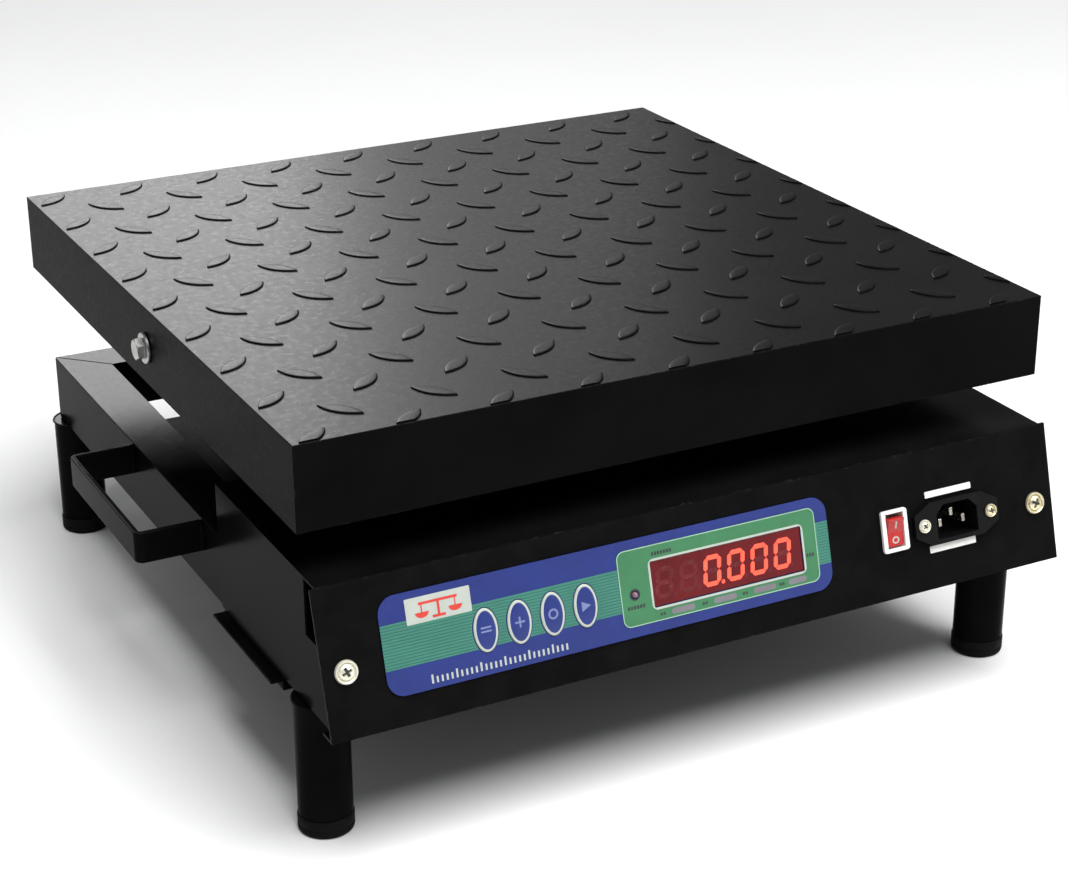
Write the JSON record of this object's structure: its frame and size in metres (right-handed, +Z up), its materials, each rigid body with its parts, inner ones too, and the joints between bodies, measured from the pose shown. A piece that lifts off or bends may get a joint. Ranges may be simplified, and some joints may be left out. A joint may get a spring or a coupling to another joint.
{
  "type": "platform weighing scale",
  "caption": "Electronic bench platform scale: checkered steel platter on a load cell, open angle-iron base on tube legs, sloping display panel, side carrying handles.",
  "frame": {"origin": "on the floor under the middle of the outer box", "axes": "+Z up, +X to the right seen from the display, -Y out of the display front"},
  "size_m": [0.459, 0.4296, 0.2005],
  "materials": {
    "black_paint": "satin black enamel on steel",
    "foot_rubber": "matte moulded rubber",
    "zinc_steel": "zinc-plated steel",
    "brass_screw": "yellow passivated screw heads",
    "cell_aluminium": "machined aluminium",
    "label_film": "printed film, satin",
    "key_film": "printed film, satin",
    "red_window": "dark red filter, gloss",
    "black_plastic": "moulded, satin",
    "cable_jacket": "grey PVC",
    "white_plastic": "moulded, satin",
    "red_plastic": "translucent red, gloss",
    "board_green": "solder mask",
    "battery_case": "moulded ABS",
    "transformer_steel": "varnished laminations"
  },
  "bodies": {
    "base": {"base_angle_left": "black_paint", "base_angle_right": "black_paint", "base_angle_back": "black_paint", "base_front_bar": "black_paint", "base_channel": "black_paint", "leg_front_left": "black_paint", "leg_front_right": "black_paint", "leg_back_left": "black_paint", "leg_back_right": "black_paint", "handle_left": "black_paint", "handle_right": "black_paint", "housing_shell": "black_paint", "front_panel": "black_paint", "bottom_cover": "black_paint", "battery_tray": "black_paint", "foot_front_left": "foot_rubber", "foot_front_right": "foot_rubber", "foot_back_left": "foot_rubber", "foot_back_right": "foot_rubber", "lower_spacer": "zinc_steel", "fixed_end_bolt_1": "zinc_steel", "fixed_end_bolt_2": "zinc_steel", "overload_stop_left": "zinc_steel", "overload_stop_right": "zinc_steel", "inlet_screw_left": "zinc_steel", "inlet_screw_right": "zinc_steel", "inlet_pin_live": "zinc_steel", "inlet_pin_neutral": "zinc_steel", "inlet_pin_earth": "zinc_steel", "panel_screw_left": "brass_screw", "panel_screw_right": "brass_screw", "load_cell": "cell_aluminium", "panel_label": "label_film", "display_window": "red_window", "display_module": "black_plastic", "mains_inlet": "black_plastic", "load_cell_cable": "cable_jacket", "switch_body": "white_plastic", "inlet_strip_top": "white_plastic", "inlet_strip_bottom": "white_plastic", "indicator_lamp": "red_plastic", "circuit_board": "board_green", "battery": "battery_case", "transformer": "transformer_steel"},
    "platter": {"platter_pan": "black_paint", "platter_rail_left": "black_paint", "platter_rail_right": "black_paint", "platter_cross_channel": "black_paint", "upper_spacer": "zinc_steel", "live_end_bolt_1": "zinc_steel", "live_end_bolt_2": "zinc_steel", "pan_washer_left": "zinc_steel", "pan_washer_right": "zinc_steel", "pan_bolt_left": "zinc_steel", "pan_bolt_right": "zinc_steel"},
    "key_1_body": {"key_1": "key_film"},
    "key_2_body": {"key_2": "key_film"},
    "key_3_body": {"key_3": "key_film"},
    "key_4_body": {"key_4": "key_film"},
    "rocker_body": {"rocker": "red_plastic"}
  },
  "joints": [
    {"name": "platter_travel", "type": "slide", "parent": "base", "child": "platter", "axis": [0, 0, 1], "range_m": [-0.0006, 0], "stiffness_N_per_m": 1200000, "springref_m": 0.00006},
    {"name": "key_1_press", "type": "slide", "parent": "base", "child": "key_1_body", "axis": [0, 0.9622, -0.2724], "range_m": [0, 0.0008], "stiffness_N_per_m": 1500, "springref_m": -0.0003},
    {"name": "key_2_press", "type": "slide", "parent": "base", "child": "key_2_body", "axis": [0, 0.9622, -0.2724], "range_m": [0, 0.0008], "stiffness_N_per_m": 1500, "springref_m": -0.0003},
    {"name": "key_3_press", "type": "slide", "parent": "base", "child": "key_3_body", "axis": [0, 0.9622, -0.2724], "range_m": [0, 0.0008], "stiffness_N_per_m": 1500, "springref_m": -0.0003},
    {"name": "key_4_press", "type": "slide", "parent": "base", "child": "key_4_body", "axis": [0, 0.9622, -0.2724], "range_m": [0, 0.0008], "stiffness_N_per_m": 1500, "springref_m": -0.0003},
    {"name": "rocker_tilt", "type": "hinge", "parent": "base", "child": "rocker_body", "pos_m": [0.1029, -0.20309, 0.10107], "axis": [1, 0, 0], "range_deg": [-22, 0]}
  ]
}
